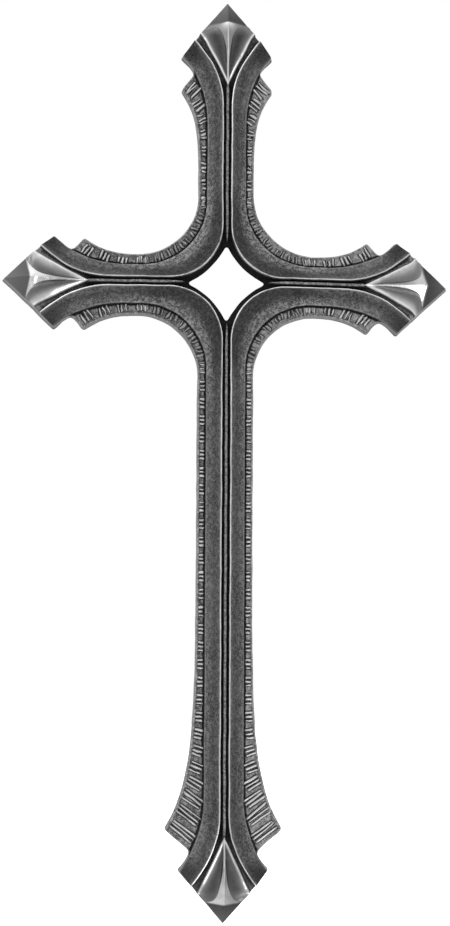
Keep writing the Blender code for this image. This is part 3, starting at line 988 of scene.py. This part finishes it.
# %% [markdown]
# ## The chased ribs
# Along the flange the pattern carver cut short ribs in groups of three, with a
# plain patch between two groups. They repeat along a path, so a node tree sets
# them: points along a guide, three ribs at each point, and a little noise so that
# no two are the same. Modelling each rib by hand would hide that rule.

# %% Where the ribs stand
RIB_FOOT, RIM_WIDTH, LONGEST_RIB = 0.0005, 0.0006, 0.020
SLANT = kinds((0.75, 0.030), (0.60, 0.024), (0.66, 0.060))


def rib_at(kind, back):
    """Slant of a rib on an arm, and its length from band foot to rim."""
    angle, run = SLANT[kind]
    angle *= float(smooth(1 - (back - SHOULDER[kind][0]) / run))

    def past_rim(out):
        rim = flange_line(kind, back + out * math.tan(angle)) - RIM_WIDTH
        return band_line(back) + RIB_FOOT + out > rim

    return angle, bisect(past_rim, 0.0, LONGEST_RIB, 30)[0] / math.cos(angle)


def arm_guide(arm, side):
    """Points along the foot of the ribs on an arm: place, direction and reach of a rib."""
    kind = KIND[arm]
    points = []
    for back in steps(NOTCH_BACK + 0.0050, ARM[kind] - BAND_OFFSET - BAND_RADIUS, 0.001):
        angle, reach = rib_at(kind, back)
        reach += SHOULDER_SPREAD[kind] * bell(back, SHOULDER[kind][0], SHOULDER_REACH)
        point = place(arm, side, back, float(band_line(back)) + RIB_FOOT)
        out = DIRECTION[side] * math.cos(angle) - DIRECTION[arm] * math.sin(angle)
        points.append((point, out, reach))
    return points


def corner_guide(first, second):
    centre = BAND_OFFSET + BAND_RADIUS
    middle = (DIRECTION[first] + DIRECTION[second]) * centre
    points = []
    for x, y in arc(first, second, centre, centre, BAND_RADIUS - RIB_FOOT, 0.001):
        reach = outline_tree.find((x, y, 0.0))[2] - RIM_WIDTH
        points.append(((x, y), (middle - Vector((x, y))).normalized(), reach))
    return points


shaft_guides = [arm_guide("down", "left"), arm_guide("down", "right")]
corner_guides = [corner_guide(first, second) for first, second in QUARTERS]
arm_guides = []
for first, second in QUARTERS:
    if first != "down":
        arm_guides.append(arm_guide(first, second))
    if second != "down":
        arm_guides.append(arm_guide(second, first))
print("guides", [len(guide) for guide in shaft_guides + arm_guides + corner_guides])


# %% One rib of the pattern
def rib_pattern(bright, deep):
    """Rounded rib of unit length, rubbed bright on top, with a dark foot on both sides of patina and painted
    shade.
    """
    side = [(0.00098, -0.00020, 0.0, 0.2), (0.00084, 0.00020, 0.0, deep),
            (0.00054, 0.00024, 0.0, deep), (0.00036, 0.00050, bright * 0.55, 0.0)]
    top = (0.0, 0.00066, bright, 0.0)
    section = [(-x, z, p, d) for x, z, p, d in side] + [top] + side[::-1]
    along = [(0.0, 0.2), (0.05, 0.75), (0.15, 1.0), (0.5, 1.0), (0.85, 1.0), (0.95, 0.8), (1.0, 0.2)]
    points, shown, faces = [], [], []
    for y, share in along:
        for x, z, p, d in section:
            points.append((x, y, z * share - 0.00025 * (1 - share)))
            shown.append((p * share, max(d, 1 - share)))
    wide = len(section)
    for row in range(len(along) - 1):
        for k in range(wide):
            a, b = row * wide + k, row * wide + (k + 1) % wide
            faces.append((a, a + wide, b + wide, b))
    faces.append(tuple(range(wide)))
    faces.append(tuple(range((len(along) - 1) * wide, len(along) * wide))[::-1])
    mesh = bpy.data.meshes.new("rib_pattern")
    mesh.from_pydata(points, [], faces)
    paint(mesh, ("polish", "dark"), shown)
    mesh.shade_smooth()
    return show("rib_pattern", mesh)


crisp = rib_pattern(0.72, 0.5)
plain_rib = rib_pattern(0.68, 0.62)
faint = rib_pattern(0.36, 0.42)
print("one rib has", len(crisp.data.polygons), "faces")


# %% The guides as edges, with their marks
def guide_object(name, guides):
    points, edges, outs, reaches = [], [], [], []
    for guide in guides:
        edges += [(len(points) + i, len(points) + i + 1) for i in range(len(guide) - 1)]
        for (x, y), out, reach in guide:
            points.append((x, -HEIGHT["flange"], y + float(lean(x)) + MOUNT_BELOW_STAR))
            outs.append((out.x, 0.0, out.y))
            reaches.append(reach)
    mesh = bpy.data.meshes.new(name)
    mesh.from_pydata(points, edges, [])
    mesh.attributes.new("out", "FLOAT_VECTOR", "POINT").data.foreach_set("vector", np.ravel(outs))
    mesh.attributes.new("reach", "FLOAT", "POINT").data.foreach_set("value", reaches)
    return show(name, mesh)


# %% Node tree that sets the ribs
def rib_tree():
    tree = bpy.data.node_groups.new("set_ribs", "GeometryNodeTree")
    face = tree.interface
    face.new_socket("Geometry", in_out="INPUT", socket_type="NodeSocketGeometry")
    for name, kind in (("Group Spacing", "Float"), ("Rib Pitch", "Float"), ("Rib Count", "Int"),
                       ("Tilt", "Float"), ("Shortest", "Float"), ("Unevenness", "Float"),
                       ("Seed", "Int"), ("Pattern", "Object"), ("Finish", "Material")):
        face.new_socket(name, in_out="INPUT", socket_type="NodeSocket" + kind)
    face.new_socket("Geometry", in_out="OUTPUT", socket_type="NodeSocketGeometry")
    put = partial(add_node, tree)
    given = put("NodeGroupInput").outputs

    def calc(operation, a, b):
        return put("ShaderNodeMath", {"operation": operation}, (a, b)).outputs[0]

    def named(name, kind="FLOAT"):
        node = put("GeometryNodeInputNamedAttribute", {"data_type": kind}, Name=name)
        return node.outputs["Attribute"]

    def chance(low, high, salt):
        """Random number between two bounds, with a seed of its own."""
        seed = calc("ADD", given["Seed"], salt)
        node = put("FunctionNodeRandomValue", {"data_type": "FLOAT"}, Seed=seed)
        feed(tree, node.inputs[2], low)
        feed(tree, node.inputs[3], high)
        return node.outputs[1]

    curve = put("GeometryNodeMeshToCurve", Mesh=given["Geometry"])
    groups = put("GeometryNodeCurveToPoints", {"mode": "LENGTH"}, Curve=curve.outputs["Curve"],
                 Length=given["Group Spacing"])
    facing = put("FunctionNodeAlignRotationToVector", {"axis": "Z"}, Vector=(0.0, -1.0, 0.0))
    turned = put("FunctionNodeAlignRotationToVector", {"axis": "Y", "pivot_axis": "Z"},
                 Rotation=facing.outputs[0], Vector=named("out", "FLOAT_VECTOR"))
    marked = put("GeometryNodeStoreNamedAttribute", {"data_type": "QUATERNION", "domain": "POINT"},
                 Geometry=groups.outputs["Points"], Name="turn", Value=turned.outputs[0])
    offset = put("ShaderNodeCombineXYZ", X=given["Rib Pitch"])
    last = calc("SUBTRACT", given["Rib Count"], 1.0)
    half = calc("MULTIPLY", calc("MULTIPLY", given["Rib Pitch"], last), -0.5)
    start = put("ShaderNodeCombineXYZ", X=half)
    three = put("GeometryNodeMeshLine", {"mode": "OFFSET"}, Count=given["Rib Count"],
                Start_Location=start.outputs[0], Offset=offset.outputs[0])
    spread = put("GeometryNodeInstanceOnPoints", Points=marked.outputs[0],
                 Instance=three.outputs["Mesh"], Rotation=named("turn", "QUATERNION"))
    places = put("GeometryNodeRealizeInstances", Geometry=spread.outputs[0])
    shape = put("GeometryNodeObjectInfo", Object=given["Pattern"])
    tilt = put("ShaderNodeCombineXYZ", Z=calc("MULTIPLY", chance(-1.0, 1.0, 1), given["Tilt"]))
    tilted = put("FunctionNodeRotateRotation", {"rotation_space": "LOCAL"},
                 Rotation=named("turn", "QUATERNION"), Rotate_By=tilt.outputs[0])
    length = calc("MULTIPLY", named("reach"), chance(given["Shortest"], 1.0, 3))
    size = put("ShaderNodeCombineXYZ", X=chance(0.75, 1.15, 2), Y=length, Z=chance(0.75, 1.15, 4))
    ribs = put("GeometryNodeInstanceOnPoints", Points=places.outputs[0],
               Instance=shape.outputs["Geometry"], Rotation=tilted.outputs[0], Scale=size.outputs[0])
    plain = put("GeometryNodeRealizeInstances", Geometry=ribs.outputs[0])
    where = put("GeometryNodeInputPosition")
    rough = put("ShaderNodeTexNoise", Vector=where.outputs[0], Scale=620.0, Detail=2.0)
    centred = put("ShaderNodeVectorMath", {"operation": "SUBTRACT"},
                  (rough.outputs["Color"], (0.5, 0.5, 0.5)))
    pushed = put("ShaderNodeVectorMath", {"operation": "SCALE"}, Vector=centred.outputs[0],
                 Scale=given["Unevenness"])
    uneven = put("GeometryNodeSetPosition", Geometry=plain.outputs[0], Offset=pushed.outputs[0])
    done = put("GeometryNodeSetMaterial", Geometry=uneven.outputs[0], Material=given["Finish"])
    put("NodeGroupOutput", values=(done.outputs[0],))
    return tree


# %% Set the ribs and keep them as plain meshes
def set_ribs(name, guides, sizes):
    """Ribs along the guides, as a plain mesh that rides on the frame."""
    ribs = guide_object(name, guides)
    modifier = ribs.modifiers.new("set_ribs", "NODES")
    modifier.node_group = rib_nodes
    for item in rib_nodes.interface.items_tree:
        if item.in_out == "INPUT" and item.name in sizes:
            modifier[item.identifier] = sizes[item.name]
    shown = ribs.evaluated_get(bpy.context.evaluated_depsgraph_get())
    plain = bpy.data.meshes.new_from_object(shown)
    ribs.modifiers.clear()
    ribs.data = plain
    print(name, len(plain.vertices), "points,", len(plain.polygons), "faces")
    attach(ribs, "root")
    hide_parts("cross")


rib_nodes = rib_tree()
SIZES = ("Group Spacing", "Rib Pitch", "Tilt", "Shortest", "Unevenness", "Seed", "Pattern")
for name, guides, *sizes in (
        ("shaft_ribs", shaft_guides, 0.0075, 0.00172, 0.04, 0.94, 0.0011, 7, crisp),
        ("arm_ribs", arm_guides, 0.0070, 0.00172, 0.14, 0.75, 0.0017, 11, plain_rib),
        ("corner_ribs", corner_guides, 0.0066, 0.00175, 0.20, 0.65, 0.0021, 3, faint)):
    set_ribs(name, guides, {"Rib Count": 3, "Finish": iron, **dict(zip(SIZES, sizes))})
for pattern in (crisp, plain_rib, faint):
    bpy.data.objects.remove(pattern)

# %% [markdown]
# ## Floor, light and camera
# The cross hangs clear of a pale floor in an even, pale room. Metal only shows
# what it reflects, so the room is brighter above than below, and two soft lamps
# put the bright gradients on the spear tips.

# %% Floor
FLOOR_SIDE, FLOOR_LOW = 6, -0.60
floor_mesh = bpy.data.meshes.new("floor")
floor_corners = [(x * FLOOR_SIDE, y * FLOOR_SIDE, FLOOR_LOW) for x, y in ((-1, -1), (1, -1), (1, 1), (-1, 1))]
floor_mesh.from_pydata(floor_corners, [], [(0, 1, 2, 3)])
floor = show("floor", floor_mesh)
pale = bpy.data.materials.new("pale_floor")
pale.use_nodes = True
to_camera = add_node(pale.node_tree, "ShaderNodeLightPath").outputs["Is Camera Ray"]
for name, value in (("Base Color", (0.7, 0.7, 0.7, 1)), ("Roughness", 0.9),
                    ("Emission Color", (1, 1, 1, 1)), ("Emission Strength", to_camera)):
    feed(pale.node_tree, pale.node_tree.nodes["Principled BSDF"].inputs[name], value)
floor_mesh.materials.append(pale)

# %% Light
BRIGHTER_WAY = (-0.26, -0.30, 0.66)
DIM_ROOM, BRIGHT_ROOM = 0.56, 1.38


def pale_room():
    """Even white room to the eye, and to the metal a room that is brighter up on the left."""
    world = bpy.data.worlds.new("pale_room")
    world.use_nodes = True
    tree = world.node_tree
    put = partial(add_node, tree)
    where = put("ShaderNodeTexCoord").outputs["Generated"]
    aim = put("ShaderNodeVectorMath", {"operation": "DOT_PRODUCT"}, (where, BRIGHTER_WAY))
    bright = put("ShaderNodeMapRange", values=(aim.outputs["Value"], -0.9, 0.9, DIM_ROOM, BRIGHT_ROOM))
    seen = put("ShaderNodeMix", values=(put("ShaderNodeLightPath").outputs["Is Camera Ray"],))
    feed(tree, seen.inputs[2], bright.outputs["Result"])
    feed(tree, seen.inputs[3], 1.0)
    background = tree.nodes["Background"]
    feed(tree, background.inputs["Color"], (1.0, 1.0, 1.0, 1))
    feed(tree, background.inputs["Strength"], seen.outputs[0])
    return world


bpy.context.scene.world = pale_room()
bpy.context.scene.view_settings.view_transform = "Standard"


def soft_lamp(name, spot, power, size):
    light = bpy.data.lights.new(name, "AREA")
    light.energy = power
    light.size = size
    lamp = show(name, light)
    lamp.location = spot
    lamp.rotation_euler = (-Vector(spot)).to_track_quat("-Z", "Y").to_euler()
    lamp.visible_camera = False


soft_lamp("upper_left", (-0.9, -1.0, 1.1), 3.2, 0.7)
soft_lamp("below", (0.14, -0.34, -0.56), 1.3, 0.35)

# %% Camera
FOCAL = 1686.1
WIDTH, DEPTH = 450, 926
SENSOR = 36
TILT, ROLL, PAN = -0.0767, 0.0522, -0.0050
EYE = Vector((-0.0383, -0.7363, -0.1347 + MOUNT_BELOW_STAR))
look = Matrix.Rotation(PAN, 3, "Z") @ Matrix.Rotation(TILT, 3, "X")
look = look @ Matrix.Rotation(ROLL, 3, "Y")
stand = Matrix(((1, 0, 0), (0, 0, -1), (0, 1, 0)))
lens = bpy.data.cameras.new("camera")
lens.sensor_fit = "VERTICAL"
lens.sensor_height = SENSOR
lens.lens = FOCAL * SENSOR / DEPTH
lens.clip_start = 0.01
camera = show("camera", lens)
camera.matrix_world = Matrix.Translation(EYE) @ (stand @ look.transposed()).to_4x4()
bpy.context.scene.camera = camera
print("camera lens", round(lens.lens, 1), "mm, frame", WIDTH, "by", DEPTH)
